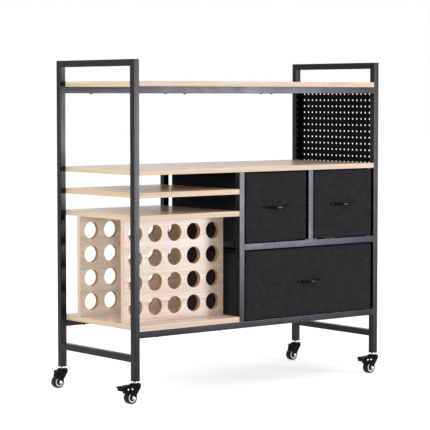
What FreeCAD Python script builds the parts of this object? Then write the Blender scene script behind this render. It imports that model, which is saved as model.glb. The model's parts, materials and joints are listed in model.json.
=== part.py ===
"""Rolling craft cart: a steel tube frame on four swivel casters, with five boards, a holder for
twenty rolls, three fabric drawers and a perforated side panel. Millimetres, +Z up, front to -Y.

Everything is laid out from the cart's left front corner at floor level. The finished pieces are
then moved together, so that the origin lies on the floor under the middle of the whole cart.
"""

import math
import os

import FreeCAD
import Part

Vector = FreeCAD.Vector
X = Vector(1, 0, 0)
Y = Vector(0, 1, 0)
Z = Vector(0, 0, 1)

# Overall frame
cart_width = 990.0
cart_depth = 404.0
post_height = 951.0
tube_size = 20.0
tube_wall = 1.2
tube_corner_radius = 1.0
tube_corner_flats = 2
board_thickness = 16.0

# Levels above the underside of the posts, and the handles' height above the top board
handle_rise = 64.0
second_board_top = 625.0
third_board_top = 557.3
fourth_board_top = 489.6
bottom_board_top = 162.5
mid_rail_top = 387.0
stretcher_top = 75.5

# Plates welded to the ends of rails and to the feet of the short posts
plate_thickness = 2.5
end_plate_overlap = 3.5
foot_plate_length = 52.0

# Drawers and the runners that carry them
middle_post_x = 402.0
drawer_side_gap = 7.0
drawer_top_gap = 5.0
drawer_recess = 3.0
drawer_rear_gap = 23.0
runner_rise = 3.5
runner_leg = 20.0
runner_thickness = 2.0
runner_inset = 1.0
slide_gap = 0.3
front_thickness = 12.0
bin_wall = 5.0
bin_floor = 4.0
bin_rim_rise = 3.0
bin_rim_setback = 6.0
front_hem_gap = 0.8
base_board_thickness = 3.0
base_board_gap = 1.0

# Bow pulls
pull_length = 110.0
pull_height = 9.0
pull_thickness = 2.6
pull_projection = 22.0
pull_pad = 13.0
pull_bow_flats = 10
pull_screw_radius = 2.0
pull_screw_head_radius = 3.6
pull_screw_head_height = 2.2

# Roll holder
roll_panel_setback = 80.0
roll_columns = 5
roll_rows = 4
roll_pitch_x = 74.0
roll_pitch_z = 73.7
roll_hole_radius = 26.0
roll_hole_sides = 16

# Perforated side panel
panel_thickness = 1.2
panel_flange = 12.0
panel_columns = 17
panel_rows = 12
panel_pitch_y = 20.0
panel_pitch_z = 20.5
panel_top_drop = 37.8
panel_row_margin = 12.6
panel_hole_width = 6.4
panel_hole_sides = 4
panel_fit = 0.3
panel_screw_inset = 25.0
panel_screw_radius = 2.0
panel_screw_head_radius = 3.8
panel_screw_head_height = 1.6
panel_screw_grip = 8.0

# Bolts that hold the boards on the rails
head_sides = 6
shank_sides = 4
bolt_radius = 3.0
bolt_head_radius = 5.0
bolt_head_height = 2.6
bolt_depth_in_board = 11.0
top_bolt_inset = 124.0
bottom_bolt_inset = 72.0

# Casters: wheel
caster_height = 66.0
wheel_radius = 19.0
wheel_width = 22.0
wheel_sides = 16
tread_edge = 2.5
core_radius = 14.0
trail = 18.0
axle_radius = 3.0
axle_head_radius = 5.0
axle_head_height = 2.5
axle_nut_height = 6.0
pin_sides = 8
running_gap = 0.05

# Casters: fork
wheel_side_gap = 0.6
cheek_thickness = 2.4
toe_radius = 7.0
toe_flats = 4
crown_radius = 16.5
crown_height = 11.0
crown_edge = 3.0
crown_sides = 10
crown_roof = 8.0
shoulder_reach = 11.0
web_reach = 25.2
web_front_reach = 8.0
web_low = 40.0
web_high = 55.5
brake_arm_reach = 41.0
brake_arm_high = 51.0

# Casters: stem and leg socket
stem_radius = 4.0
stem_depth = 22.0
collar_radius = 6.5
collar_height = 6.0
stem_head_radius = 6.0
stem_head_height = 2.0
socket_flange = 3.0
socket_depth = 26.0
socket_fit = 0.1

# Casters: brake pedal and rivets, heights above the floor and reaches behind the stem
pedal_width = 18.5
pedal_reach = 64.0
pedal_tip = (51.0, 54.0)
pedal_root_reach = 27.0
pedal_root_height = 57.5
pedal_root_low = 41.0
skirt_reach = 59.5
skirt_low = 42.0
shoe_back_reach = 41.0
shoe_bearing = 140.0
shoe_gap = 0.4
brake_travel = 15.0
rivet_height = 45.7
rivet_reaches = (35.7, 20.9)
rivet_radius = 1.8
rivet_head_radius = 3.0
rivet_head_height = 1.2

# Levels above the floor and lines that several pieces share
post_foot = caster_height
post_top = post_foot + post_height
top_level = post_top - handle_rise
top_rail_level = top_level - board_thickness
second_level = post_foot + second_board_top
third_level = post_foot + third_board_top
fourth_level = post_foot + fourth_board_top
bottom_level = post_foot + bottom_board_top
bottom_rail_level = bottom_level - board_thickness
mid_rail_level = post_foot + mid_rail_top
half_tube = tube_size / 2
inner_left = tube_size
inner_right = cart_width - tube_size
bay_left = middle_post_x + tube_size
short_post_x = (bay_left + inner_right - tube_size) / 2
drawer_back = cart_depth - drawer_rear_gap
tube_rows = (half_tube, cart_depth - half_tube)
cheek_inner = wheel_width / 2 + wheel_side_gap
cheek_outer = cheek_inner + cheek_thickness
fork_top = caster_height - collar_height
crown_low = fork_top - crown_height
roof_low = fork_top - crown_roof


def other_axes(axis):
    """The two row axes square to axis, in order."""
    return [a for a in (X, Y, Z) if abs(a.dot(axis)) < 0.5]


def face_of(points):
    """Flat face bounded by straight lines through the points."""
    return Part.Face(Part.makePolygon(points + [points[0]]))


def box(x0, x1, y0, y1, z0, z1):
    """Box between two opposite corners."""
    return Part.makeBox(x1 - x0, y1 - y0, z1 - z0, Vector(x0, y0, z0))


def arc_points(centre, radius, start, sweep, steps):
    """Plane points along an arc, angles in degrees."""
    points = []
    for k in range(steps + 1):
        angle = math.radians(start + sweep * k / steps)
        points.append((centre[0] + radius * math.cos(angle), centre[1] + radius * math.sin(angle)))
    return points


def outline(origin, axis, points):
    """Plane points placed square to axis at origin."""
    u, v = other_axes(axis)
    return [origin + u * a + v * b for a, b in points]


def prism(start, axis, radius, length, sides):
    """Straight prism with flats square to the row axes; radius is to its corners."""
    turn = 360.0 / sides
    corners = arc_points((0, 0), radius, turn / 2, 360.0 - turn, sides - 1)
    return face_of(outline(start, axis, corners)).extrude(axis * length)


def bore(start, axis, radius, length, sides):
    """Prism whose flats, not its corners, lie at radius: a hole that a turning prism clears."""
    return prism(start, axis, radius / math.cos(math.pi / sides), length, sides)


def stepped_pin(start, axis, steps):
    """Coaxial prisms end to end: steps lists (radius, length, sides) from start along axis."""
    pieces = []
    at = Vector(start)
    for radius, length, sides in steps:
        pieces.append(prism(at, axis, radius, length, sides))
        at = at + axis * length
    return pieces[0].fuse(pieces[1:]).removeSplitter()


def drilled(shape, pins):
    """The shape with a hole for each pin that passes through it."""
    near = [pin for pin in pins if shape.BoundBox.intersect(pin.BoundBox)]
    return shape.cut(Part.makeCompound(near)) if near else shape


def rounded_square(half, radius, flats):
    """Corners of a square with rounded corners, each drawn with a few flats."""
    points = []
    inner = half - radius
    for start, (a, b) in zip((0, 90, 180, 270), ((1, 1), (-1, 1), (-1, -1), (1, -1))):
        points += arc_points((a * inner, b * inner), radius, start, 90, flats)
    return points


def square_tube(start, axis, length):
    """Hollow square tube; start is the centre of its first end."""
    outer = rounded_square(tube_size / 2, tube_corner_radius, tube_corner_flats)
    hollow = tube_size / 2 - tube_wall
    inner = [(hollow, hollow), (-hollow, hollow), (-hollow, -hollow), (hollow, -hollow)]
    section = face_of(outline(start, axis, outer)).cut(face_of(outline(start, axis, inner)))
    return section.extrude(axis * length)


def long_tube(x0, x1, y_mid, z_top):
    """Tube along X whose upper face lies at z_top."""
    return square_tube(Vector(x0, y_mid, z_top - half_tube), X, x1 - x0)


def cross_tube(x_mid, z_top):
    """Tube along Y between the front and the back row of tubes."""
    start = Vector(x_mid, tube_size, z_top - half_tube)
    return square_tube(start, Y, cart_depth - 2 * tube_size)


def mitre(x0, y_edge, inwards, keep_upright):
    """Wedge that trims a post or a handle at their 45 degree corner joint."""
    far = y_edge + inwards * tube_size
    low = post_top - tube_size
    third = (far, post_top) if keep_upright else (y_edge, low)
    points = [Vector(x0, y, z) for y, z in ((y_edge, post_top), (far, low), third)]
    return face_of(points).extrude(X * tube_size)


def end_frame(side, x0):
    """Two posts, the push handle across their tops and the low stretcher between them."""
    mid_x = x0 + half_tube
    foot = post_foot + socket_flange
    handle = square_tube(Vector(mid_x, 0, post_top - half_tube), Y, cart_depth)
    pieces = {}
    for name, y_mid, y_edge, inwards in (
        ("front", half_tube, 0.0, 1),
        ("back", cart_depth - half_tube, cart_depth, -1),
    ):
        post = square_tube(Vector(mid_x, y_mid, foot), Z, post_top - foot)
        pieces[f"{side}_{name}_post"] = post.cut(mitre(x0, y_edge, inwards, True))
        handle = handle.cut(mitre(x0, y_edge, inwards, False))
    pieces[f"{side}_handle_bar"] = handle
    return pieces


def plated_rail(x0, y_mid, z_top):
    """Rail whose right end is welded to a plate, a little taller than the rail."""
    x_plate = inner_right - plate_thickness
    y0 = y_mid - half_tube
    low = z_top - tube_size - end_plate_overlap
    plate = box(x_plate, inner_right, y0, y0 + tube_size, low, z_top + end_plate_overlap)
    return long_tube(x0, x_plate, y_mid, z_top).fuse(plate).removeSplitter()


def footed_post(x0, y_mid, z0, z1):
    """Short post welded to a foot plate."""
    mid_x = x0 + half_tube
    reach = foot_plate_length / 2
    y0 = y_mid - half_tube
    z_plate = z0 + plate_thickness
    plate = box(mid_x - reach, mid_x + reach, y0, y0 + tube_size, z0, z_plate)
    post = square_tube(Vector(mid_x, y_mid, z_plate), Z, z1 - z_plate)
    return post.fuse(plate).removeSplitter()


def frame_pieces():
    """Every steel tube of the cart except the drawer runners."""
    pieces = {}
    pieces.update(end_frame("left", 0.0))
    pieces.update(end_frame("right", inner_right))
    end_x = (half_tube, cart_width - half_tube)
    low = post_foot + stretcher_top
    pieces["stretchers"] = Part.makeCompound([cross_tube(x, low) for x in end_x])
    underside = second_level - board_thickness
    short_posts = []
    for name, y in zip(("front", "back"), tube_rows):
        pieces[f"top_{name}_rail"] = long_tube(inner_left, inner_right, y, top_rail_level)
        pieces[f"bottom_{name}_rail"] = plated_rail(inner_left, y, bottom_rail_level)
        pieces[f"mid_{name}_rail"] = plated_rail(bay_left, y, mid_rail_level)
        foot = Vector(middle_post_x + half_tube, y, bottom_rail_level)
        pieces[f"middle_{name}_post"] = square_tube(foot, Z, underside - bottom_rail_level)
        short_posts.append(footed_post(short_post_x, y, mid_rail_level, underside))
    pieces["short_posts"] = Part.makeCompound(short_posts)
    return pieces


def boards():
    """The five wood boards, flush with the front and the back of the frame."""
    places = {
        "top_board": (inner_right, top_level),
        "second_board": (inner_right, second_level),
        "third_board": (middle_post_x, third_level),
        "fourth_board": (middle_post_x, fourth_level),
        "bottom_board": (middle_post_x, bottom_level),
    }
    pieces = {}
    for name, (right, top) in places.items():
        pieces[name] = box(inner_left, right, 0, cart_depth, top - board_thickness, top)
    return pieces


def board_bolts():
    """Bolts up through the rails into the top board and the bottom board."""
    board_mid = (inner_left + middle_post_x) / 2
    spread = board_mid - inner_left - bottom_bolt_inset
    top_x = (top_bolt_inset, cart_width / 2, cart_width - top_bolt_inset)
    bottom_x = (board_mid - spread, board_mid + spread)
    shank = tube_size + bolt_depth_in_board
    head = (bolt_head_radius, bolt_head_height, head_sides)
    steps = [head, (bolt_radius, shank, shank_sides)]
    bolts = []
    for level, columns in ((top_rail_level, top_x), (bottom_rail_level, bottom_x)):
        z = level - tube_size - bolt_head_height
        for x in columns:
            for y in tube_rows:
                bolts.append(stepped_pin(Vector(x, y, z), Z, steps))
    return bolts


def roll_panel(y0):
    """Upright board with a grid of round holes, between the fourth and the bottom board."""
    top = fourth_level - board_thickness
    mid_x = (inner_left + middle_post_x) / 2
    mid_z = (bottom_level + top) / 2
    blank = box(inner_left, middle_post_x, y0, y0 + board_thickness, bottom_level, top)
    holes = []
    for row in range(roll_rows):
        z = mid_z + (row - (roll_rows - 1) / 2) * roll_pitch_z
        for column in range(roll_columns):
            x = mid_x + (column - (roll_columns - 1) / 2) * roll_pitch_x
            start = Vector(x, y0, z)
            holes.append(prism(start, Y, roll_hole_radius, board_thickness, roll_hole_sides))
    return blank.cut(Part.makeCompound(holes))


def roll_holder():
    """Front and back panel, set back alike from the front and the back of the cart."""
    return {
        "roll_panel_front": roll_panel(roll_panel_setback),
        "roll_panel_back": roll_panel(cart_depth - roll_panel_setback - board_thickness),
    }


def panel_levels():
    """Lower and upper edge of the side panel, a margin beyond its rows of holes."""
    top_row = top_level - panel_top_drop
    low_row = top_row - (panel_rows - 1) * panel_pitch_z
    return low_row - panel_row_margin, top_row + panel_row_margin


def side_panel_screws():
    """Screws through the side panel's flanges into the right posts."""
    z0, z1 = panel_levels()
    x = cart_width - (panel_thickness + panel_flange) / 2
    head = (panel_screw_head_radius, panel_screw_head_height, head_sides)
    shank = (panel_screw_radius, panel_screw_grip, shank_sides)
    under_head = tube_size + panel_fit + panel_thickness
    screws = []
    for z in (z0 + panel_screw_inset, z1 - panel_screw_inset):
        front = Vector(x, under_head - panel_screw_grip, z)
        back = Vector(x, cart_depth - under_head - panel_screw_head_height, z)
        screws.append(stepped_pin(front, Y, [shank, head]))
        screws.append(stepped_pin(back, Y, [head, shank]))
    return screws


def side_panel():
    """Perforated sheet between the right posts, with flanges bent in along them."""
    y0 = tube_size + panel_fit
    y1 = cart_depth - y0
    z0, z1 = panel_levels()
    x0 = cart_width - panel_thickness
    sheet = box(x0, cart_width, y0, y1, z0, z1)
    corner_radius = panel_hole_width / 2 / math.cos(math.pi / panel_hole_sides)
    holes = []
    for row in range(panel_rows):
        z = z0 + panel_row_margin + row * panel_pitch_z
        for column in range(panel_columns):
            y = cart_depth / 2 + (column - (panel_columns - 1) / 2) * panel_pitch_y
            start = Vector(x0, y, z)
            holes.append(prism(start, X, corner_radius, panel_thickness, panel_hole_sides))
    sheet = sheet.cut(Part.makeCompound(holes))
    flanges = []
    for y in (y0, y1 - panel_thickness):
        flange_x = cart_width - panel_flange
        flanges.append(box(flange_x, x0, y, y + panel_thickness, z0, z1))
    return sheet.fuse(flanges).removeSplitter()


def drawer_bays():
    """Outer limits of each drawer: x0, x1, z0, z1."""
    upper = (mid_rail_level, second_level - board_thickness)
    lower = (bottom_rail_level, mid_rail_level - tube_size)
    bays = {
        "upper_left": (bay_left, short_post_x, *upper),
        "upper_right": (short_post_x + tube_size, inner_right, *upper),
        "lower": (bay_left, inner_right, *lower),
    }
    limits = {}
    for name, (x0, x1, z0, z1) in bays.items():
        low = z0 + runner_rise + slide_gap
        limits[name] = (x0 + drawer_side_gap, x1 - drawer_side_gap, low, z1 - drawer_top_gap)
    return limits


def front_hem(name):
    """Lower edge of a drawer's front, clear of the rail or of the foot plates that stand on it."""
    if name == "lower":
        return bottom_rail_level + front_hem_gap
    return mid_rail_level + plate_thickness + front_hem_gap


def bin_shell(x0, x1, z0, z1, hem):
    """Fabric bin with an open top; its rim stands above the front and its front hangs below it."""
    inside_y = drawer_recess + front_thickness
    rim = z1 + bin_rim_rise
    front = box(x0, x1, drawer_recess, inside_y, hem, z1)
    walls = box(x0, x1, drawer_recess + bin_rim_setback, drawer_back, z0, rim)
    low = z0 + bin_floor
    inside = box(x0 + bin_wall, x1 - bin_wall, inside_y, drawer_back - bin_wall, low, rim)
    return front.fuse(walls.cut(inside)).removeSplitter()


def base_board(x0, x1, z0):
    """Loose board that stiffens the floor of a bin."""
    side = bin_wall + base_board_gap
    y0 = drawer_recess + front_thickness + base_board_gap
    y1 = drawer_back - side
    low = z0 + bin_floor
    return box(x0 + side, x1 - side, y0, y1, low, low + base_board_thickness)


def bow(half_chord, rise, flats):
    """Points along a shallow arc over a chord, from left to right."""
    radius = (half_chord ** 2 + rise ** 2) / (2 * rise)
    half_angle = math.degrees(math.asin(half_chord / radius))
    return arc_points((0, rise - radius), radius, 90 + half_angle, -2 * half_angle, flats)


def pull_strap(mid_x, mid_z):
    """Flat strap bent into a bow, with a pad at each end against the drawer's front."""
    t = pull_thickness
    half = pull_length / 2
    knee = half - pull_pad
    outer = [(x, y + t) for x, y in bow(knee, pull_projection - t, pull_bow_flats)]
    inner = bow(knee - t, pull_projection - t, pull_bow_flats)
    points = [(-half, 0), (-half, t), *outer, (half, t), (half, 0), *reversed(inner)]
    low = mid_z - pull_height / 2
    strap = [Vector(mid_x + x, drawer_recess - y, low) for x, y in points]
    return face_of(strap).extrude(Z * pull_height)


def pull_screws(mid_x, mid_z):
    """Two screws from inside the drawer's front into the pads of a pull."""
    reach = front_thickness + pull_thickness
    head = (pull_screw_head_radius, pull_screw_head_height, head_sides)
    shank = (pull_screw_radius, reach, shank_sides)
    spread = (pull_length - pull_pad) / 2
    screws = []
    for x in (mid_x - spread, mid_x + spread):
        start = Vector(x, drawer_recess - pull_thickness, mid_z)
        screws.append(stepped_pin(start, Y, [shank, head]))
    return screws


def runner(x_edge, inwards, drawer_underside):
    """Steel angle welded between the front and the back rail, its level leg uppermost."""
    top = drawer_underside - slide_gap
    low = top - runner_thickness
    heel = x_edge + inwards * runner_thickness
    reach = x_edge + inwards * runner_leg
    foot = top - runner_leg
    section = [(x_edge, foot), (heel, foot), (heel, low), (reach, low), (reach, top), (x_edge, top)]
    points = [Vector(x, tube_size, z) for x, z in section]
    return face_of(points).extrude(Y * (cart_depth - 2 * tube_size))


def drawers():
    """Bin, base board and pull of each drawer, and the runners under it."""
    pieces = {}
    for name, (x0, x1, z0, z1) in drawer_bays().items():
        mid_x = (x0 + x1) / 2
        mid_z = (z0 + z1) / 2
        screws = pull_screws(mid_x, mid_z)
        pieces[f"{name}_bin"] = drilled(bin_shell(x0, x1, z0, z1, front_hem(name)), screws)
        pieces[f"{name}_base_board"] = base_board(x0, x1, z0)
        strap = drilled(pull_strap(mid_x, mid_z), screws)
        pieces[f"{name}_pull"] = Part.makeCompound([strap, *screws])
        runners = [runner(x0 + runner_inset, 1, z0), runner(x1 - runner_inset, -1, z0)]
        pieces[f"{name}_runners"] = Part.makeCompound(runners)
    return pieces


def caster_spots():
    """Stem axis of each caster, and whether it has a brake."""
    left, right = half_tube, cart_width - half_tube
    front, back = tube_rows
    return {
        "front_left": (left, front, True),
        "front_right": (right, front, True),
        "back_left": (left, back, False),
        "back_right": (right, back, False),
    }


def leg_socket(x, y):
    """Plastic plug in the foot of a post, threaded for the caster's stem."""
    flange = half_tube
    plug = half_tube - tube_wall - socket_fit
    z_flange = post_foot + socket_flange
    top = post_foot + socket_depth
    body = box(x - flange, x + flange, y - flange, y + flange, post_foot, z_flange)
    body = body.fuse(box(x - plug, x + plug, y - plug, y + plug, z_flange, top))
    return body.cut(prism(Vector(x, y, post_foot), Z, stem_radius, stem_depth, pin_sides))


def caster_stem(x, y):
    """Head under the fork, the pin that the fork turns on, collar and threaded stem."""
    steps = [
        (stem_head_radius, stem_head_height, head_sides),
        (stem_radius, crown_roof + 2 * running_gap, pin_sides),
        (collar_radius, collar_height - running_gap, pin_sides),
        (stem_radius, stem_depth, pin_sides),
    ]
    start = Vector(x, y, roof_low - running_gap - stem_head_height)
    return stepped_pin(start, Z, steps)


def cross_pin(x, z, front_head, shank_radius, back_head):
    """Pin across both cheeks; each head is (radius, height)."""
    steps = [
        (*front_head, head_sides),
        (shank_radius, 2 * cheek_outer, head_sides),
        (*back_head, head_sides),
    ]
    return stepped_pin(Vector(x, -cheek_outer - front_head[1], z), Y, steps)


def caster_pins(braked):
    """Wheel axle with its nut, and on a braked caster the two rivets."""
    nut = (axle_head_radius, axle_nut_height)
    head = (axle_head_radius, axle_head_height)
    pins = [cross_pin(-trail, wheel_radius, nut, axle_radius, head)]
    if braked:
        head = (rivet_head_radius, rivet_head_height)
        for reach in rivet_reaches:
            pins.append(cross_pin(-reach, rivet_height, head, rivet_radius, head))
    return pins


def cheek_outline(braked):
    """Side view of a cheek about the stem axis, trailing to -X: front edge, toe, back, top."""
    shoulder = (shoulder_reach, crown_low)
    axle = (-trail, wheel_radius)
    rise = shoulder[1] - axle[1]
    run = shoulder[0] - axle[0]
    tangent = math.atan2(rise, run) - math.acos(toe_radius / math.hypot(rise, run))
    front = math.degrees(tangent)
    toe = arc_points(axle, toe_radius, front, -180.0 - front, toe_flats)
    back_x = -trail - toe_radius
    arm = [(-brake_arm_reach, web_low), (-brake_arm_reach, brake_arm_high)]
    top = [(-shoulder_reach, fork_top - crown_edge), (shoulder_reach, fork_top - crown_edge)]
    return toe + [(back_x, web_low)] + (arm if braked else []) + top + [shoulder]


def fork(braked, pins):
    """Round crown, two cheeks round the wheel and, without a brake, a web behind the crown."""
    crown = prism(Vector(0, 0, crown_low), Z, crown_radius, crown_height, crown_sides)
    rim = [e for e in crown.Edges if abs(e.CenterOfMass.z - fork_top) < crown_edge / 2]
    body = crown.makeChamfer(crown_edge, rim)
    for y in (-cheek_outer, cheek_inner):
        cheek = [Vector(px, y, pz) for px, pz in cheek_outline(braked)]
        body = body.fuse(face_of(cheek).extrude(Y * cheek_thickness))
    wheel_slot = box(-crown_radius, crown_radius, -cheek_inner, cheek_inner, crown_low, roof_low)
    body = body.cut(wheel_slot)
    if not braked:
        web = box(-web_reach, -web_front_reach, -cheek_inner, cheek_inner, web_low, web_high)
        body = body.fuse(web)
    swivel = stem_radius + running_gap
    body = body.cut(bore(Vector(0, 0, 0), Z, swivel, fork_top, pin_sides))
    return drilled(body, pins)


def brake_pedal():
    """Pedal on the rear rivet, with a shoe that meets the tread at the end of its travel."""
    pivot = Vector(-rivet_reaches[0], 0, rivet_height)
    bearing = math.radians(shoe_bearing)
    reach = wheel_radius + shoe_gap
    touch = Vector(reach * math.cos(bearing) - trail, 0, reach * math.sin(bearing) + wheel_radius)
    shoe = pivot + FreeCAD.Rotation(Y, brake_travel).multVec(touch - pivot)
    tip_low, tip_high = pedal_tip
    points = [
        (-pedal_root_reach, pedal_root_height),
        (-pedal_reach, tip_high),
        (-pedal_reach, tip_low),
        (-skirt_reach, tip_low - 1.0),
        (-skirt_reach, skirt_low),
        (-shoe_back_reach, web_low),
        (-shoe_back_reach, shoe.z + 2.0),
        (shoe.x, shoe.z),
        (-pedal_root_reach - 4.0, pedal_root_low),
        (-pedal_root_reach, pedal_root_low + 4.0),
    ]
    half = pedal_width / 2
    pedal = face_of([Vector(px, -half, pz) for px, pz in points]).extrude(Y * pedal_width)
    eye = bore(Vector(pivot.x, -half, pivot.z), Y, rivet_radius + running_gap, pedal_width,
               head_sides)
    return pedal.cut(eye)


def wheel():
    """Tyre with broken edges, and the core that turns on the axle."""
    end = Vector(-trail, -wheel_width / 2, wheel_radius)
    tread = bore(end, Y, wheel_radius, wheel_width, wheel_sides)
    edges = [e for e in tread.Edges if abs(e.CenterOfMass.y) > wheel_width / 2 - tread_edge]
    tread = tread.makeChamfer(tread_edge, edges)
    core = bore(end, Y, core_radius, wheel_width, wheel_sides)
    axle_hole = bore(end, Y, axle_radius + running_gap, wheel_width, head_sides)
    return tread.cut(core), core.cut(axle_hole)


def casters():
    """Fork, pins, wheel and pedal of each caster, with the stems and sockets in two groups."""
    pieces = {}
    sockets = []
    stems = []
    for spot, (x, y, braked) in caster_spots().items():
        pins = caster_pins(braked)
        tyre, core = wheel()
        own = {"fork": fork(braked, pins), "pins": Part.makeCompound(pins), "tyre": tyre}
        own["wheel_core"] = core
        if braked:
            own["brake_pedal"] = brake_pedal()
        for name, shape in own.items():
            pieces[f"{spot}_{name}"] = shape.translated(Vector(x, y, 0))
        sockets.append(leg_socket(x, y))
        stems.append(caster_stem(x, y))
    pieces["leg_sockets"] = Part.makeCompound(sockets)
    pieces["caster_stems"] = Part.makeCompound(stems)
    return pieces


def cart():
    """Every piece by name, drilled for its fasteners and moved to the cart's own origin."""
    bolts = board_bolts()
    screws = side_panel_screws()
    pieces = {}
    pieces.update(frame_pieces())
    pieces.update(boards())
    pieces["side_panel"] = side_panel()
    for name, shape in pieces.items():
        pieces[name] = drilled(shape, bolts + screws)
    pieces.update(roll_holder())
    pieces.update(drawers())
    pieces.update(casters())
    pieces["board_bolts"] = Part.makeCompound(bolts)
    pieces["side_panel_screws"] = Part.makeCompound(screws)
    whole = Part.makeCompound(list(pieces.values())).BoundBox
    middle = Vector((whole.XMin + whole.XMax) / 2, (whole.YMin + whole.YMax) / 2, 0)
    return {name: shape.translated(-middle) for name, shape in pieces.items()}, middle


shapes, origin = cart()

if __name__ == "__main__":
    os.makedirs("parts", exist_ok=True)
    for name, shape in shapes.items():
        shape.exportStep(f"parts/{name}.step")
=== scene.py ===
"""Looks of the rolling craft cart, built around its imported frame.

Metres, +Z up, the front of the cart to -Y. Tubes, boards and small parts are the frame's own
shapes with rounded edges; holes, wheels, casters, pulls and the fabric drawers are modelled here.
"""

import json
import math

import bmesh
import bpy
from mathutils import Matrix, Vector, noise

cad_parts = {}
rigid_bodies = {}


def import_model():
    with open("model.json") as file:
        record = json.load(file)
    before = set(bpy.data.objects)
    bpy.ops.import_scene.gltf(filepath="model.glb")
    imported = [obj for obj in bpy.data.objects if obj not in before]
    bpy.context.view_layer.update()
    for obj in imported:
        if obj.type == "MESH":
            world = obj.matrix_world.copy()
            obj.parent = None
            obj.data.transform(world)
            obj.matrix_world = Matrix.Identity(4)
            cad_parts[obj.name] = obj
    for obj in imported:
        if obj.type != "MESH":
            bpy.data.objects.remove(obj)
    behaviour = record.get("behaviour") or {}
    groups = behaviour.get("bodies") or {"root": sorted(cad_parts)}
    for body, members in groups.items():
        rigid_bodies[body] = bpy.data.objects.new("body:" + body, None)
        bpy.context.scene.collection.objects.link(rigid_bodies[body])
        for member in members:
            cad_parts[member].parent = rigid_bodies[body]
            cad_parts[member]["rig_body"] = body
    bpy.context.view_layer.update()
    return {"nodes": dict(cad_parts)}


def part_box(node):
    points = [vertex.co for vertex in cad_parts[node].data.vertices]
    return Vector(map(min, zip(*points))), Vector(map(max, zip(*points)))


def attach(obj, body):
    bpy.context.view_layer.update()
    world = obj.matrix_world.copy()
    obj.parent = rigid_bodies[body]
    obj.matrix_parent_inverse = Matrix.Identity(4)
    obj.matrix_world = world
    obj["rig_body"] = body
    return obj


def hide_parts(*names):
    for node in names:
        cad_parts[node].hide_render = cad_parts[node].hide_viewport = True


for leftover in list(bpy.data.objects):
    bpy.data.objects.remove(leftover)

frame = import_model()

MM = 0.001
X = Vector((1, 0, 0))
Y = Vector((0, 1, 0))
Z = Vector((0, 0, 1))

# Viewpoint, from the cart's left front corner at floor level
camera_back = 4.3230
camera_left = 3.1745
camera_height = 0.9088
camera_yaw = 38.829
camera_pitch = 3.725
camera_lens = 153.09
sensor_width = 36.0

# Light of the surroundings on the cart, the floor's own glow and its level
surroundings_strength = 0.47
floor_glow = 0.64
floor_level = -0.5 * MM

# Rolled edges
fine_edge = 0.5 * MM
board_edge = 0.8 * MM
insert_edge = 0.6 * MM
roll_panel_edge = 0.7 * MM
roll_panel_rim = 1.0 * MM

# Roll holder and side panel
roll_columns, roll_rows = 5, 4
roll_pitch_x, roll_pitch_z = 74.0 * MM, 73.7 * MM
roll_hole_radius = 26.0 * MM
roll_hole_sides = 64
panel_columns, panel_rows = 17, 12
panel_pitch_y, panel_pitch_z = 20.0 * MM, 20.5 * MM
panel_hole_radius = 3.2 * MM
panel_hole_sides = 16
panel_thickness = 1.2 * MM
panel_bend_radius = 2.0 * MM

# Bolts under the rails and screws of the side panel
bolt_head_radius = 5.0 * MM
bolt_head_height = 2.6 * MM
bolt_radius = 3.0 * MM
screw_head_radius = 3.8 * MM
screw_head_height = 1.6 * MM
screw_radius = 2.0 * MM
screw_length = 9.0 * MM

# Drawers: fabric bin
drawers = ("upper_left", "upper_right", "lower")
bin_wall = 5.0 * MM
bin_floor = 4.0 * MM
bin_corner_radius = 6.0 * MM
bin_rim_rise = 3.0 * MM
bin_rim_setback = 6.0 * MM
rim_roll = 1.6 * MM
wall_bow = 2.2 * MM
cloth_step = 9.0 * MM

# Drawers: stiff front
front_thickness = 12.0 * MM
front_tuck = 0.5 * MM
front_edge_radius = 3.0 * MM
front_edge_flatness = 0.7
front_fullness = 0.9 * MM
fullness_reach = 30.0 * MM
front_rumple = 0.25 * MM
rumple_reach = 12.0 * MM
seam_inset = 6.5 * MM
seam_depth = 0.7 * MM
seam_width = 1.3 * MM
hem_hang = 1.8 * MM
hem_clear = 20.0 * MM
hem_height = 5.0 * MM

# Drawers: binding and stitches
binding_height = 14.0 * MM
binding_thickness = 0.7 * MM
stitch_line = 3.0 * MM
stitch_pitch = 4.2 * MM
stitch_length = 2.8 * MM
stitch_radius = 0.35 * MM

# Drawers: bow pull, with shares of its height or thickness, and its screws
pull_thickness = 2.6 * MM
pull_pad = 13.0 * MM
pull_toe_reach = 0.8 * pull_pad
pull_toe = 0.15
pull_neck = 0.86
pull_droop = 2.0 * MM
pull_screw_head_radius = 3.6 * MM
pull_screw_head_height = 2.2 * MM
pull_screw_radius = 2.0 * MM

# Casters: wheel and axle
spots = ("front_left", "front_right", "back_left", "back_right")
trail = 18.0 * MM
wheel_radius = 19.0 * MM
wheel_width = 22.0 * MM
tyre_edge = 4.2 * MM
ring_radius = 14.2 * MM
hub_radius = 9.7 * MM
axle_radius = 3.0 * MM
nut_radius = 5.0 * MM
nut_height = 5.7 * MM
axle_head_height = 2.2 * MM
washer_seat = 0.3 * MM

# Casters: fork
cheek_inner = 11.6 * MM
cheek_outer = 14.0 * MM
cheek_edge = 0.55 * MM
cheek_top = 57.0 * MM
shoulder_reach = 11.0 * MM
toe_radius = 7.0 * MM
boss_rise = 0.35 * MM
web_low = 40.0 * MM
web_high = 55.5 * MM
web_reach = 25.2 * MM
web_front_reach = 8.0 * MM
web_edge = 1.0 * MM
crown_radius = 16.5 * MM
crown_edge = 3.6 * MM
crown_low = 49.0 * MM
crown_roof = 52.0 * MM
crown_top = 60.0 * MM
crown_inner_radius = 12.2 * MM
swivel_hole_radius = 4.3 * MM

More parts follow.
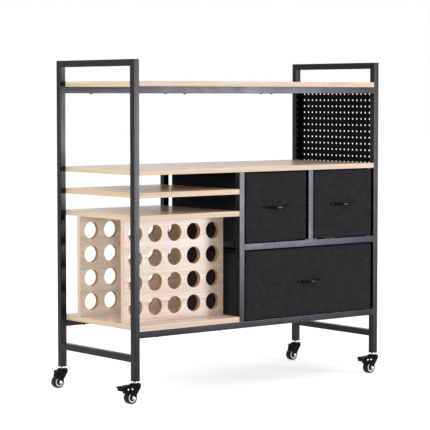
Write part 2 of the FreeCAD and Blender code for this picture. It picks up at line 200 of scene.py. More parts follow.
# Casters: brake
brake_arm_reach = 41.0 * MM
brake_arm_high = 51.0 * MM
rivet_reaches = (35.7 * MM, 20.9 * MM)
rivet_height = 45.7 * MM
rivet_radius = 1.8 * MM
rivet_head_radius = 3.0 * MM
rivet_head_height = 1.2 * MM
pedal_edge = 0.9 * MM
grip_bars = 4
grip_start = 3.2 * MM
grip_pitch = 2.6 * MM
grip_margin = 2.2 * MM
grip_half = 0.6 * MM
grip_drop = 2.35 * MM
grip_climb = 0.17 * MM
grip_rise = 0.7 * MM
grip_edge = 0.35 * MM

# Casters: stem, heights above the floor
stem_head_radius = 6.0 * MM
stem_head_low = 49.9 * MM
stem_head_top = 51.95 * MM
stem_radius = 3.95 * MM
collar_radius = 6.5 * MM
collar_low = 60.05 * MM
collar_top = 66.0 * MM
thread_radius = 3.9 * MM
thread_top = 88.0 * MM


def srgb(red, green, blue):
    """Linear colour from 0 to 255 display values."""
    linear = []
    for value in (red, green, blue):
        value /= 255.0
        linear.append(value / 12.92 if value <= 0.04045 else ((value + 0.055) / 1.055) ** 2.4)
    return (*linear, 1.0)


def add_node(tree, kind, settings=None, **inputs):
    """A node of that kind; inputs are numbers, colours or sockets to link, by socket name."""
    made = tree.nodes.new(kind)
    for name, value in (settings or {}).items():
        setattr(made, name, value)
    for name, value in inputs.items():
        socket = made.inputs[name.replace("_", " ")]
        if isinstance(value, bpy.types.NodeSocket):
            tree.links.new(value, socket)
        else:
            socket.default_value = value
    return made


def new_finish(name, roughness, metallic=0.0, specular=0.5):
    """A node material with its tree, its shader and the object's own coordinates."""
    material = bpy.data.materials.new(name)
    material.use_nodes = True
    tree = material.node_tree
    shader = tree.nodes["Principled BSDF"]
    shader.inputs["Roughness"].default_value = roughness
    shader.inputs["Metallic"].default_value = metallic
    shader.inputs["Specular IOR Level"].default_value = specular
    place = add_node(tree, "ShaderNodeTexCoord").outputs["Object"]
    return material, tree, shader, place


def stretched(tree, place, scale):
    """Coordinates scaled by axis."""
    return add_node(tree, "ShaderNodeMapping", Vector=place, Scale=scale).outputs["Vector"]


def noise_of(tree, place, scale, detail=3.0, distortion=0.0):
    """Fractal noise about 0.5."""
    made = add_node(tree, "ShaderNodeTexNoise", Vector=place, Scale=scale, Detail=detail,
                    Distortion=distortion)
    return made.outputs["Fac"]


def waves(tree, place, direction, period, distortion):
    """Parallel threads across one axis, a period apart."""
    settings = {"wave_type": "BANDS", "bands_direction": direction}
    scale = 2 * math.pi / (20 * period)
    made = add_node(tree, "ShaderNodeTexWave", settings, Vector=place, Scale=scale,
                    Distortion=distortion, Detail=1.0)
    return made.outputs["Fac"]


def ramp(tree, value, stops):
    """Colour by value: stops are (position, colour)."""
    made = add_node(tree, "ShaderNodeValToRGB", Fac=value)
    elements = made.color_ramp.elements
    while len(elements) < len(stops):
        elements.new(0.5)
    for element, (position, colour) in zip(elements, stops):
        element.position = position
        element.color = colour
    return made.outputs["Color"]


def mixed(tree, factor, first, second, blend="MIX"):
    """Two colours mixed by a factor."""
    made = add_node(tree, "ShaderNodeMix", {"data_type": "RGBA", "blend_type": blend})
    for index, value in ((0, factor), (6, first), (7, second)):
        if isinstance(value, bpy.types.NodeSocket):
            tree.links.new(value, made.inputs[index])
        else:
            made.inputs[index].default_value = value
    return made.outputs[2]


def scaled(tree, value, low, high):
    """Noise mapped to run from about low to about high."""
    made = add_node(tree, "ShaderNodeMapRange", Value=value, From_Min=0.3, From_Max=0.7,
                    To_Min=low, To_Max=high)
    return made.outputs["Result"]


def sum_of(tree, first, second, weight):
    """First plus weight times second."""
    made = add_node(tree, "ShaderNodeMath", {"operation": "MULTIPLY_ADD"})
    tree.links.new(second, made.inputs[0])
    made.inputs[1].default_value = weight
    tree.links.new(first, made.inputs[2])
    return made.outputs[0]


def set_surface(tree, shader, colour, height, relief):
    """Gives the shader its colour and a relief, where height runs from 0 to 1."""
    tree.links.new(colour, shader.inputs["Base Color"])
    made = add_node(tree, "ShaderNodeBump", Height=height, Distance=relief, Strength=1.0)
    tree.links.new(made.outputs["Normal"], shader.inputs["Normal"])


def set_roughness(tree, shader, wear, low, high):
    """Roughness from low to high by wear."""
    tree.links.new(scaled(tree, wear, low, high), shader.inputs["Roughness"])


def coated(name, dark, light, roughness, specular, peel=0.008 * MM):
    """Powder coat: an even colour with faint mottling and a fine orange-peel skin."""
    material, tree, shader, place = new_finish(name, roughness, specular=specular)
    broad = noise_of(tree, place, 14.0, 4.0)
    fine = noise_of(tree, place, 700.0, 2.0)
    colour = ramp(tree, sum_of(tree, broad, fine, 0.15), [(0.40, dark), (0.75, light)])
    set_surface(tree, shader, colour, fine, peel)
    set_roughness(tree, shader, broad, roughness - 0.04, roughness + 0.05)
    return material


def moulded(name, dark, light, roughness, specular=0.5, grain=0.03 * MM):
    """Moulded plastic or rubber with a fine spark-eroded grain."""
    material, tree, shader, place = new_finish(name, roughness, specular=specular)
    broad = noise_of(tree, place, 60.0, 3.0)
    fine = noise_of(tree, place, 2200.0, 1.0)
    set_surface(tree, shader, ramp(tree, broad, [(0.35, dark), (0.7, light)]), fine, grain)
    set_roughness(tree, shader, broad, roughness - 0.05, roughness + 0.05)
    return material


def plated(name, dark, light, roughness):
    """Bright metal plating with faint clouding."""
    material, tree, shader, place = new_finish(name, roughness, metallic=1.0)
    cloud = noise_of(tree, place, 260.0, 4.0, 0.4)
    fine = noise_of(tree, place, 1500.0, 2.0)
    set_surface(tree, shader, ramp(tree, cloud, [(0.3, dark), (0.7, light)]), fine, 0.01 * MM)
    set_roughness(tree, shader, cloud, roughness - 0.06, roughness + 0.08)
    return material


def wood(name, tones, grain, figure, roughness, specular):
    """Printed wood foil: figure, streaks and short pores, drawn out along the grain."""
    material, tree, shader, place = new_finish(name, roughness, specular=specular)
    dark, middle, light = tones
    figured = noise_of(tree, stretched(tree, place, figure), 1.0, 5.0, 1.2)
    streaks = noise_of(tree, stretched(tree, place, grain), 1.0, 4.0, 0.3)
    colour = ramp(tree, sum_of(tree, figured, streaks, 0.35),
                  [(0.45, dark), (0.66, middle), (0.86, light)])
    pores = noise_of(tree, stretched(tree, place, [3.5 * value for value in grain]), 1.0, 2.0)
    pore_mask = ramp(tree, pores, [(0.60, (0, 0, 0, 1)), (0.74, (1, 1, 1, 1))])
    colour = mixed(tree, scaled(tree, pore_mask, 0.0, 0.10), colour, dark, "MULTIPLY")
    set_surface(tree, shader, colour, sum_of(tree, streaks, pores, -0.4), 0.05 * MM)
    set_roughness(tree, shader, streaks, roughness - 0.05, roughness + 0.07)
    return material


def chipboard(name):
    """Sawn particle board, as the wall of a hole shows it."""
    material, tree, shader, place = new_finish(name, 0.85, specular=0.2)
    chips = add_node(tree, "ShaderNodeTexVoronoi", Vector=place, Scale=620.0).outputs["Color"]
    tone = noise_of(tree, chips, 3.0, 2.0)
    colour = ramp(tree, tone, [(0.3, srgb(142, 104, 66)), (0.7, srgb(214, 178, 132))])
    set_surface(tree, shader, colour, tone, 0.25 * MM)
    return material


def woven(name, dark, light, thread, relief):
    """Plain weave of heathered yarn: threads along each axis, slubs and mottled colour."""
    material, tree, shader, place = new_finish(name, 0.92, specular=0.12)
    threads = [waves(tree, place, axis, thread, 0.6) for axis in ("X", "Y", "Z")]
    weave = sum_of(tree, sum_of(tree, threads[0], threads[2], 1.0), threads[1], 1.0)
    slub_x = noise_of(tree, stretched(tree, place, (90, 900, 900)), 1.0, 2.0)
    slub_z = noise_of(tree, stretched(tree, place, (900, 900, 90)), 1.0, 2.0)
    slubs = sum_of(tree, slub_x, slub_z, 1.0)
    cloud = noise_of(tree, place, 45.0, 3.0)
    made = add_node(tree, "ShaderNodeMapRange", Value=sum_of(tree, slubs, cloud, 0.6),
                    From_Min=1.0, From_Max=1.6, To_Min=0.0, To_Max=1.0)
    heather = mixed(tree, made.outputs["Result"], dark, light)
    set_surface(tree, shader, heather, sum_of(tree, weave, slubs, 0.8), relief)
    shader.inputs["Sheen Weight"].default_value = 0.05
    shader.inputs["Sheen Roughness"].default_value = 0.5
    return material


frame_steel = coated("frame_steel", srgb(8, 9, 12), srgb(14, 15, 19), 0.25, 0.21)
panel_steel = coated("perforated_steel", srgb(8, 8, 9), srgb(12, 12, 13), 0.40, 0.04)
face_tones = (srgb(218, 192, 168), srgb(233, 213, 195), srgb(241, 226, 211))
edge_tones = (srgb(204, 172, 141), srgb(220, 194, 166), srgb(230, 208, 185))
board_face = wood("board_face", face_tones, (9, 420, 420), (1.6, 34, 34), 0.27, 0.20)
edge_along_x = wood("edge_along_x", edge_tones, (9, 420, 600), (2.0, 34, 160), 0.42, 0.20)
edge_along_y = wood("edge_along_y", edge_tones, (420, 9, 600), (34, 2.0, 160), 0.37, 0.32)
edge_along_z = wood("edge_along_z", edge_tones, (420, 600, 9), (34, 160, 2.0), 0.37, 0.32)
board_core = chipboard("board_core")
drawer_cloth = woven("drawer_fabric", srgb(24, 24, 25), srgb(44, 44, 46), 1.1 * MM, 0.12 * MM)
# Binding tape: its near-black tone, darker than the drawer cloth it is made of, is painted shade
# for the dark gaps above the drawers' fronts.
binding_cloth_painted_shade = woven("binding_fabric_painted_shade", srgb(4, 4, 5), srgb(8, 8, 9), 0.8 * MM, 0.08 * MM)
thread_cloth = woven("stitching", srgb(30, 30, 32), srgb(44, 44, 46), 0.5 * MM, 0.03 * MM)
insert_board = moulded("insert_board", srgb(46, 45, 44), srgb(60, 58, 56), 0.85, 0.2, 0.12 * MM)
pull_black = coated("pull_metal", srgb(4, 4, 4), srgb(7, 7, 7), 0.20, 0.075, 0.004 * MM)
bolt_black = coated("fastener_steel", srgb(7, 7, 8), srgb(12, 12, 13), 0.34, 0.06, 0.01 * MM)
zinc = plated("zinc", srgb(178, 181, 187), srgb(208, 211, 217), 0.26)
tyre_rubber = moulded("tyre", srgb(15, 15, 16), srgb(25, 25, 26), 0.42, 0.14)
ring_white = moulded("wheel_plastic", srgb(206, 205, 200), srgb(228, 227, 223), 0.38)
hub_black = moulded("hub_black", srgb(9, 9, 9), srgb(15, 15, 15), 0.42, 0.08)
fork_black = moulded("fork_black", srgb(6, 6, 7), srgb(11, 11, 12), 0.34, 0.05)
plastic_black = moulded("black_plastic", srgb(7, 7, 8), srgb(12, 12, 13), 0.36, 0.07)


def body_of(node):
    """The body that a frame node rides on."""
    return frame["nodes"][node]["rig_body"]


def middle_of(node):
    """Centre of a frame node's box."""
    low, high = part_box(node)
    return (low + high) / 2


def finished(bm, name, node, materials, crease=38.0, replaced=None):
    """The piece made from bm: it rides on node's body and stands for node or those replaced."""
    bmesh.ops.recalc_face_normals(bm, faces=bm.faces)
    limit = math.radians(crease)
    for face in bm.faces:
        face.smooth = True
    for edge in bm.edges:
        edge.smooth = edge.calc_face_angle(math.pi) < limit
    mesh = bpy.data.meshes.new(name)
    bm.to_mesh(mesh)
    bm.free()
    for material in materials:
        mesh.materials.append(material)
    piece = bpy.data.objects.new(name, mesh)
    bpy.context.scene.collection.objects.link(piece)
    weighted = piece.modifiers.new("flat faces stay flat", "WEIGHTED_NORMAL")
    weighted.keep_sharp = True
    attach(piece, body_of(node))
    replaced = [node] if replaced is None else replaced
    if replaced:
        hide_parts(*replaced)
    return piece


def round_edges(bm, edges, width, segments=2):
    """Rolls the given edges over."""
    bmesh.ops.bevel(bm, geom=edges, offset=width, offset_type="OFFSET", segments=segments,
                    profile=0.5, affect="EDGES", clamp_overlap=True)


def sharp_edges(edges, angle=30.0):
    """Those of the edges whose two faces meet at more than angle."""
    limit = math.radians(angle)
    return [edge for edge in edges if edge.calc_face_angle(0.0) > limit]


def frame_mesh(node):
    """The frame node's own shape, with its doubled corners joined."""
    bm = bmesh.new()
    bm.from_mesh(frame["nodes"][node].data)
    bmesh.ops.remove_doubles(bm, verts=bm.verts, dist=0.002 * MM)
    return bm


def from_frame(node, width, segments=2):
    """The frame node's own shape with its edges rolled over."""
    bm = frame_mesh(node)
    bmesh.ops.dissolve_limit(bm, angle_limit=math.radians(1.0), verts=bm.verts, edges=bm.edges)
    round_edges(bm, sharp_edges(bm.edges), width, segments)
    return bm


def refined(node, material, suffix, width=fine_edge):
    """A piece with the frame node's own shape, rounded edges and one finish."""
    finished(from_frame(node, width), f"{node}_{suffix}", node, [material])


def bridge(bm, low, high):
    """Faces between two rings of corners; a ring of one corner is a tip."""
    count = max(len(low), len(high))
    for k in range(count):
        after = (k + 1) % count
        corners = [low[k % len(low)], low[after % len(low)],
                   high[after % len(high)], high[k % len(high)]]
        corners = [c for i, c in enumerate(corners) if c not in corners[:i]]
        if len(corners) > 2:
            bm.faces.new(corners)


def lathe(bm, profile, centre, axis, segments, closed=False, side=None):
    """Turns (radius, height) points about axis through centre; side is square to the axis."""
    first = side if side is not None else X
    second = axis.cross(first)
    rings = []
    for radius, height in profile:
        at = centre + axis * height
        ring = []
        for k in range(segments if radius > 0.0 else 1):
            angle = 2 * math.pi * k / segments
            ring.append(bm.verts.new(at + first * radius * math.cos(angle)
                                     + second * radius * math.sin(angle)))
        rings.append(ring)
    for low, high in zip(rings, rings[1:]):
        bridge(bm, low, high)
    if closed:
        bridge(bm, rings[-1], rings[0])


def loft(bm, rings, closed=False):
    """Skin through rings of points, joined end to end where closed and capped elsewhere."""
    made = [[bm.verts.new(point) for point in ring] for ring in rings]
    for low, high in zip(made, made[1:]):
        bridge(bm, low, high)
    if closed:
        bridge(bm, made[-1], made[0])
    else:
        bm.faces.new(made[0])
        bm.faces.new(made[-1])


def arc(centre, radius, start, sweep, steps):
    """Points along an arc in a plane, angles in degrees."""
    points = []
    for k in range(steps + 1):
        angle = math.radians(start + sweep * k / steps)
        points.append((centre[0] + radius * math.cos(angle), centre[1] + radius * math.sin(angle)))
    return points


def slab(bm, points, centre, y_low, y_high, width):
    """Upright plate: plane points (x, z) about centre, between two y values, with rolled edges."""
    sides = []
    for y in (y_low, y_high):
        sides.append([bm.verts.new(centre + Vector((px, y, pz))) for px, pz in points])
    faces = [bm.faces.new(sides[0]), bm.faces.new(list(reversed(sides[1])))]
    count = len(points)
    for k in range(count):
        after = (k + 1) % count
        faces.append(bm.faces.new([sides[0][after], sides[0][k], sides[1][k], sides[1][after]]))
    bmesh.ops.recalc_face_normals(bm, faces=faces)
    edges = dict.fromkeys(edge for face in faces for edge in face.edges)
    round_edges(bm, sharp_edges(edges), width)


def block(bm, low, high, width):
    """Box between two corners with rolled edges."""
    low, high = Vector(low), Vector(high)
    size = high - low
    matrix = Matrix.Translation((low + high) / 2) @ Matrix.Diagonal((*size, 1.0))
    verts = bmesh.ops.create_cube(bm, size=1.0, matrix=matrix)["verts"]
    edges = dict.fromkeys(edge for vert in verts for edge in vert.link_edges)
    round_edges(bm, list(edges), width)


def paint(bm, chooser):
    """Gives each face the material index that chooser returns for it."""
    bm.normal_update()
    for face in bm.faces:
        face.material_index = chooser(face)


def along(face):
    """Which axis a face looks along: 0, 1 or 2."""
    normal = [abs(value) for value in face.normal]
    return normal.index(max(normal))


def steel_pieces():
    """Every tube, rail and runner with its coat."""
    for node in frame["nodes"]:
        if node.endswith(("_post", "_bar", "_rail", "_rails", "_posts", "stretchers", "_runners")):
            refined(node, frame_steel, "coated")


def board_pieces():
    """Boards with wood foil on their faces and banding along their edges."""
    finishes = [board_face, edge_along_x, edge_along_y]
    index = {2: 0, 1: 1, 0: 2}
    for node in frame["nodes"]:
        if node.endswith("_board") and "base" not in node:
            bm = from_frame(node, board_edge)
            paint(bm, lambda face: index[along(face)])
            finished(bm, f"{node}_laminated", node, finishes)
        elif node.endswith("_base_board"):
            refined(node, insert_board, "covered", insert_edge)


def holed_sheet(width, height, columns, rows, pitch, radius, sides):
    """Flat sheet about the origin in X and Z with a grid of round holes, one cell round each."""
    bm = bmesh.new()
    known = {}

    def vert(px, pz):
        key = (round(px, 7), round(pz, 7))
        if key not in known:
            known[key] = bm.verts.new((px, 0.0, pz))
        return known[key]

    def lines(count, step, length):
        centres = [(k - (count - 1) / 2) * step for k in range(count)]
        edges = [c - step / 2 for c in centres[1:]]
        return centres, [-length / 2, *edges, length / 2]

    centres_x, edges_x = lines(columns, pitch[0], width)
    centres_z, edges_z = lines(rows, pitch[1], height)
    half = sides // 2
    for i, cx in enumerate(centres_x):
        for j, cz in enumerate(centres_z):
            x0, x1, z0, z1 = edges_x[i], edges_x[i + 1], edges_z[j], edges_z[j + 1]
            upper = [vert(*p) for p in arc((cx, cz), radius, 180.0, -180.0, half)]
            lower = [vert(*p) for p in arc((cx, cz), radius, 0.0, -180.0, half)]
            bm.faces.new([vert(x0, cz), *upper, vert(x1, cz), vert(x1, z1), vert(x0, z1)])
            bm.faces.new([vert(x1, cz), *lower, vert(x0, cz), vert(x0, z0), vert(x1, z0)])
    return bm


def shift(bm, grown, step):
    """Moves the corners of an extrusion by step."""
    bmesh.ops.translate(bm, vec=step, verts=[g for g in grown if isinstance(g, bmesh.types.BMVert)])


def roll_panels():
    """The two upright boards of the roll holder, with round holes through sawn board."""
    finishes = [board_face, edge_along_x, edge_along_z, board_core]
    index = {1: 0, 2: 1, 0: 2}
    for node in ("roll_panel_front", "roll_panel_back"):
        low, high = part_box(node)
        size = high - low
        bm = holed_sheet(size.x, size.z, roll_columns, roll_rows, (roll_pitch_x, roll_pitch_z),
                         roll_hole_radius, roll_hole_sides)
        grown = bmesh.ops.extrude_face_region(bm, geom=list(bm.faces))["geom"]
        shift(bm, grown, Y * size.y)
        bmesh.ops.recalc_face_normals(bm, faces=bm.faces)
        round_edges(bm, sharp_edges(bm.edges, 60.0), roll_panel_edge)
        edge_x, edge_z = size.x / 2 - roll_panel_rim, size.z / 2 - roll_panel_rim

        def finish_of(face):
            at = face.calc_center_median()
            inside = abs(at.x) < edge_x and abs(at.z) < edge_z
            return 3 if inside and abs(face.normal.y) < 0.2 else index[along(face)]

        paint(bm, finish_of)
        bmesh.ops.translate(bm, vec=Vector(((low.x + high.x) / 2, low.y, (low.z + high.z) / 2)),
                            verts=bm.verts)
        finished(bm, f"{node}_laminated", node, finishes)


def side_panel():
    """Perforated sheet, bent round into a flange along each post."""
    low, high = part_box("side_panel")
    size = high - low
    bend = panel_bend_radius
    reach = size.x - panel_thickness / 2
    bm = holed_sheet(size.y - 2 * bend, size.z, panel_columns, panel_rows,
                     (panel_pitch_y, panel_pitch_z), panel_hole_radius, panel_hole_sides)
    for side in (-1, 1):
        edge_x = side * (size.y / 2 - bend)
        line = [e for e in bm.edges if all(abs(v.co.x - edge_x) < 0.001 * MM for v in e.verts)]
        at = Vector((edge_x, 0.0, 0.0))
        stops = [(edge_x + side * a, bend - b) for a, b in arc((0, 0), bend, 90.0, -90.0, 4)[1:]]
        stops.append((side * size.y / 2, reach))
        for px, py in stops:
            to = Vector((px, py, 0.0))
            grown = bmesh.ops.extrude_edge_only(bm, edges=line)["geom"]
            line = [g for g in grown if isinstance(g, bmesh.types.BMEdge)
                    and all(v in grown for v in g.verts)]
            shift(bm, grown, to - at)
            at = to
    turn = Matrix(((0, -1, 0), (1, 0, 0), (0, 0, 1))).to_4x4()
    middle = (low + high) / 2
    place = Matrix.Translation((high.x, middle.y, middle.z)) @ turn
    bmesh.ops.transform(bm, matrix=place, verts=bm.verts)
    piece = finished(bm, "side_panel_coated", "side_panel", [panel_steel])
    solid = piece.modifiers.new("sheet", "SOLIDIFY")
    solid.thickness = panel_thickness
    solid.offset = -1.0
    solid.use_even_offset = True


def button_head(bm, centre, axis, radius, height):
    """Low domed screw head with a round-bottomed driver recess."""
    recess = 0.36 * radius
    dome = arc((0.0, -0.55 * radius), 1.14 * radius, 68.0, -40.0, 6)
    top = max(p[1] for p in dome)
    profile = [(0.0, 0.45 * height), (recess, 0.45 * height), (recess, 0.97 * height)]
    profile += [(px, height * max(0.0, pz) / top) for px, pz in dome]
    profile += [(radius, 0.12 * height), (radius, 0.0), (0.0, 0.0)]
    lathe(bm, profile, centre, axis, 32)


def shank(bm, foot, axis, radius, length, segments):
    """Plain round shank that ends flat."""
    lathe(bm, [(radius, 0.0), (radius, length), (0.0, length)], foot, axis, segments)


def loose_solids(node):
    """Boxes of a node's separate solids, each as (low, high)."""
    bm = frame_mesh(node)
    boxes = []
    left = set(bm.verts)
    while left:
        stack = [left.pop()]
        found = []
        while stack:
            vert = stack.pop()
            found.append(vert.co.copy())
            for edge in vert.link_edges:
                other = edge.other_vert(vert)
                if other in left:
                    left.remove(other)
                    stack.append(other)
        boxes.append((Vector(map(min, *found)), Vector(map(max, *found))))
    bm.free()
    return sorted(boxes, key=lambda box: tuple(box[0]))


def fasteners():
    """Round-headed bolts under the rails and screws in the side panel's flanges."""
    bm = bmesh.new()
    for low, high in loose_solids("board_bolts"):
        centre = (low + high) / 2
        centre.z = low.z + bolt_head_height
        button_head(bm, centre, -Z, bolt_head_radius, bolt_head_height)
        shank(bm, centre, Z, bolt_radius, high.z - centre.z, 24)
    finished(bm, "board_bolts_turned", "board_bolts", [bolt_black])
    bm = bmesh.new()
    middle = middle_of("side_panel")
    for low, high in loose_solids("side_panel_screws"):
        centre = (low + high) / 2
        out = Y if centre.y < middle.y else -Y
        head = high.y if centre.y < middle.y else low.y
        centre.y = head - out.y * screw_head_height
        button_head(bm, centre, out, screw_head_radius, screw_head_height)
        shank(bm, centre, -out, screw_radius, screw_length, 24)
    finished(bm, "side_panel_screws_turned", "side_panel_screws", [bolt_black])


def bin_outline(low, high):
    """Plane points round a bin with rounded corners, about a cloth step apart."""
    radius = bin_corner_radius
    x0, x1, y0, y1 = low.x + radius, high.x - radius, low.y + radius, high.y - radius
    arcs = []
    for centre, start in (((x1, y1), 0.0), ((x0, y1), 90.0), ((x0, y0), 180.0), ((x1, y0), 270.0)):
        arcs.append([Vector(point) for point in arc(centre, radius, start, 90.0, 4)])
    points = []
    for this, after in zip(arcs, arcs[1:] + arcs[:1]):
        points += this
        count = max(1, round((after[0] - this[-1]).length / cloth_step))
        points += [this[-1].lerp(after[0], k / count) for k in range(1, count)]
    return points


def cloth_wall(point, low, high):
    """A wall point of a bin, drawn in between its stiff corners and a little uneven."""
    centre = (low + high) / 2
    half = (high - low) / 2
    across = Vector(((point.x - centre.x) / half.x, (point.y - centre.y) / half.y))
    rise = (point.z - low.z) / (high.z - low.z)
    rumple = noise.noise(point * 22.0) * 0.5 + noise.noise(point * 60.0) * 0.2
    moved = point.copy()
    hold = math.sin(math.pi * min(1.0, max(0.0, rise))) * 0.6 + 0.4 * rise
    for axis in (0, 1):
        other = across[1 - axis]
        if abs(across[axis]) > 0.95:
            bow = (1.0 - other * other) * hold * wall_bow * (1.0 + 0.5 * rumple)
            moved[axis] -= math.copysign(max(0.0, bow), across[axis])
    return moved


def drawn_in(outline, low, high, inset):
    """Plane points of an outline, drawn in by inset towards the middle of the bin."""
    middle = (low + high) / 2
    share_x, share_y = 1 - inset / (high.x - middle.x), 1 - inset / (high.y - middle.y)
    return [Vector((middle.x + (point.x - middle.x) * share_x,
                    middle.y + (point.y - middle.y) * share_y)) for point in outline]


def wall_ring(outline, low, high, inset, z):
    """Ring of a bin's wall at height z: the outline drawn in by inset, with the cloth's bow."""
    plane = drawn_in(outline, low, high, inset)
    return [cloth_wall(Vector((point.x, point.y, z)), low, high) for point in plane]


def bin_body(name, low, high):
    """Open fabric bin: outer wall, rolled rim, inner wall and floor in one skin."""
    outer = bin_outline(low, high)
    inner = drawn_in(outer, low, high, bin_wall)
    rows = max(6, round((high.z - low.z) / (1.6 * cloth_step)))
    floor = low.z + bin_floor
    rings = []

    def roll(outline, z, turn):
        """Rings round a rolled edge: turn holds (inset, rise) as shares of the roll."""
        for inset, rise in turn:
            rings.append(wall_ring(outline, low, high, inset * rim_roll, z + rise * rim_roll))

    def wall(outline, bottom, order):
        height = high.z - bottom - 2 * rim_roll
        for k in order:
            z = bottom + rim_roll + height * k / rows
            rings.append(wall_ring(outline, low, high, 0.0, z))

    roll(outer, low.z, ((2.2, 0.0), (0.6, 0.25), (0.0, 1.0)))
    wall(outer, low.z, range(1, rows))
    roll(outer, high.z, ((0.0, -1.0), (0.6, -0.25), (1.6, 0.0)))
    roll(inner, high.z, ((-0.6, 0.0), (-0.2, -0.3), (0.0, -1.0)))
    wall(inner, floor, range(rows - 1, 0, -1))
    roll(inner, floor, ((0.0, 1.0), (0.6, 0.25), (2.0, 0.0)))
    bm = bmesh.new()
    loft(bm, rings)
    finished(bm, f"{name}_bin_body", f"{name}_bin", [drawer_cloth], 70.0)


def front_drop(u, v, width, height):
    """How far a point of the drawer's front lies behind its flattest part."""
    inset = min(u, v, width - u, height - v)
    drop = 0.0
    if inset < front_edge_radius:
        share = 1.0 - inset / front_edge_radius
        fall = 1.0 - math.sqrt(max(0.0, 1.0 - share * share))
        drop += front_edge_radius * front_edge_flatness * fall
    groove = (inset - seam_inset) / seam_width
    drop += seam_depth * math.exp(-groove * groove)
    fullness = min(1.0, inset / fullness_reach)
    drop += front_fullness * (1.0 - fullness) ** 2
    return drop


def front_lines(length):
    """Grid lines across a drawer's front, close together at its edge and its seam."""
    near = [0.0, 0.35, 0.8, 1.5, 2.3, 3.2, 4.3, 5.2, 5.9, 6.5, 7.1, 7.8, 8.8, 11.0, 14.0]
    near = [value * MM for value in near]
    span = length - 2 * near[-1]
    count = max(2, round(span / cloth_step))
    inner = [near[-1] + span * k / count for k in range(1, count)]
    return near + inner + [length - value for value in reversed(near)]


def hem_sag(name, u, v, width):
    """How far an upper drawer's cloth hangs below the hem line, clear of the short post's foot."""
    if name == "lower":
        return 0.0
    from_post = u if name == "upper_right" else width - u
    along = max(0.0, min(1.0, (from_post - hem_clear) / hem_clear))
    return hem_hang * along * max(0.0, 1.0 - v / hem_height)


def front_panel(name, low, high):
    """The drawer's stiff front: board wrapped in cloth, with the sewn line near its edge."""
    bm = bmesh.new()
    width, height = high.x - low.x, high.z - bin_rim_rise - low.z
    us, vs = front_lines(width), front_lines(height)
    back_y = low.y + bin_rim_setback + front_tuck
    grid = []
    for v in vs:
        row = []
        for u in us:
            at = Vector((low.x + u, low.y + front_drop(u, v, width, height), low.z + v))
            rumple = noise.noise(at * 30.0) * front_rumple
            at.y += abs(rumple) * min(1.0, min(u, v, width - u, height - v) / rumple_reach)
            at.z -= hem_sag(name, u, v, width)
            row.append(bm.verts.new(at))
        grid.append(row)
    for j in range(len(vs) - 1):
        for i in range(len(us) - 1):
            bm.faces.new([grid[j][i], grid[j][i + 1], grid[j + 1][i + 1], grid[j + 1][i]])
    border = [*grid[0], *[row[-1] for row in grid[1:]], *reversed(grid[-1][:-1]),
              *[row[0] for row in reversed(grid[1:-1])]]
    deep = [bm.verts.new((vert.co.x, back_y, vert.co.z)) for vert in border]
    bridge(bm, border, deep)
    bm.faces.new(deep)
    finished(bm, f"{name}_front", f"{name}_bin", [drawer_cloth], 60.0)


def rim_tape(name, low, high):
    """Binding folded over the rim of a bin, and the stitches that hold it; the binding's near-black
    tone is painted shade.
    """
    outer = bin_outline(low, high)
    grow = binding_thickness
    foot = high.z - binding_height
    outside = [(0.2 * grow, foot), (-grow, foot + 0.4 * MM), (-grow, high.z - 1.2 * MM),
               (-0.3 * grow, high.z - 0.1 * MM)]
    inside = [(bin_wall - inset, z) for inset, z in reversed(outside)]
    fold = [*outside, (0.5 * bin_wall, high.z + grow), *inside]
    bm = bmesh.new()
    loft(bm, [wall_ring(outer, low, high, inset, z) for inset, z in fold], closed=True)
    # The binding's near-black colour is painted shade; the tape itself is the drawer's cloth.
    finished(bm, f"{name}_binding", f"{name}_bin", [binding_cloth_painted_shade], 50.0, [])
    bm = bmesh.new()
    for inset in (-1.15 * grow, bin_wall + 1.15 * grow):
        stitched(bm, wall_ring(outer, low, high, inset, foot + stitch_line))
    finished(bm, f"{name}_stitches", f"{name}_bin", [thread_cloth], 60.0, [])


def stitched(bm, path):
    """Short stitches set end to end along a closed path."""
    spare = 0.0
    for start, end in zip(path, path[1:] + path[:1]):
        run = end - start
        length = run.length
        direction = run.normalized()
        at = spare
        while at + stitch_length < length + stitch_pitch - stitch_length:
            middle = start + direction * (at + stitch_length / 2)
            stitch(bm, middle, direction)
            at += stitch_pitch
        spare = at - length


def stitch(bm, middle, direction):
    """One stitch: a short spindle of thread."""
    half = stitch_length / 2
    profile = [(0.0, -half), (0.8 * stitch_radius, -0.7 * half), (stitch_radius, 0.0),
               (0.8 * stitch_radius, 0.7 * half), (0.0, half)]
    lathe(bm, profile, middle, direction, 4, side=direction.cross(Z).normalized())


def strap_path(length, projection):
    """Line of the bow pull in plan: x, distance from the drawer's front, local width, thickness."""
    half = length / 2
    knee = half - pull_pad
    rise = projection - pull_thickness
    toe_steps, bow_steps = 6, 48
    toe = []
    for k in range(toe_steps + 1):
        share = k / toe_steps
        toe.append((half - pull_toe_reach * share, pull_toe + (1.0 - pull_toe) * share))
    points = [(-along, 0.0, 1.0, thick) for along, thick in toe]
    for k in range(bow_steps + 1):
        share = -1.0 + 2.0 * k / bow_steps
        level = (1.0 - abs(share) ** 3.2) ** 1.15
        width = pull_neck + (1.0 - pull_neck) * level
        points.append((share * knee, rise * level, width, 1.0))
    return points + [(along, 0.0, 1.0, thick) for along, thick in reversed(toe)]


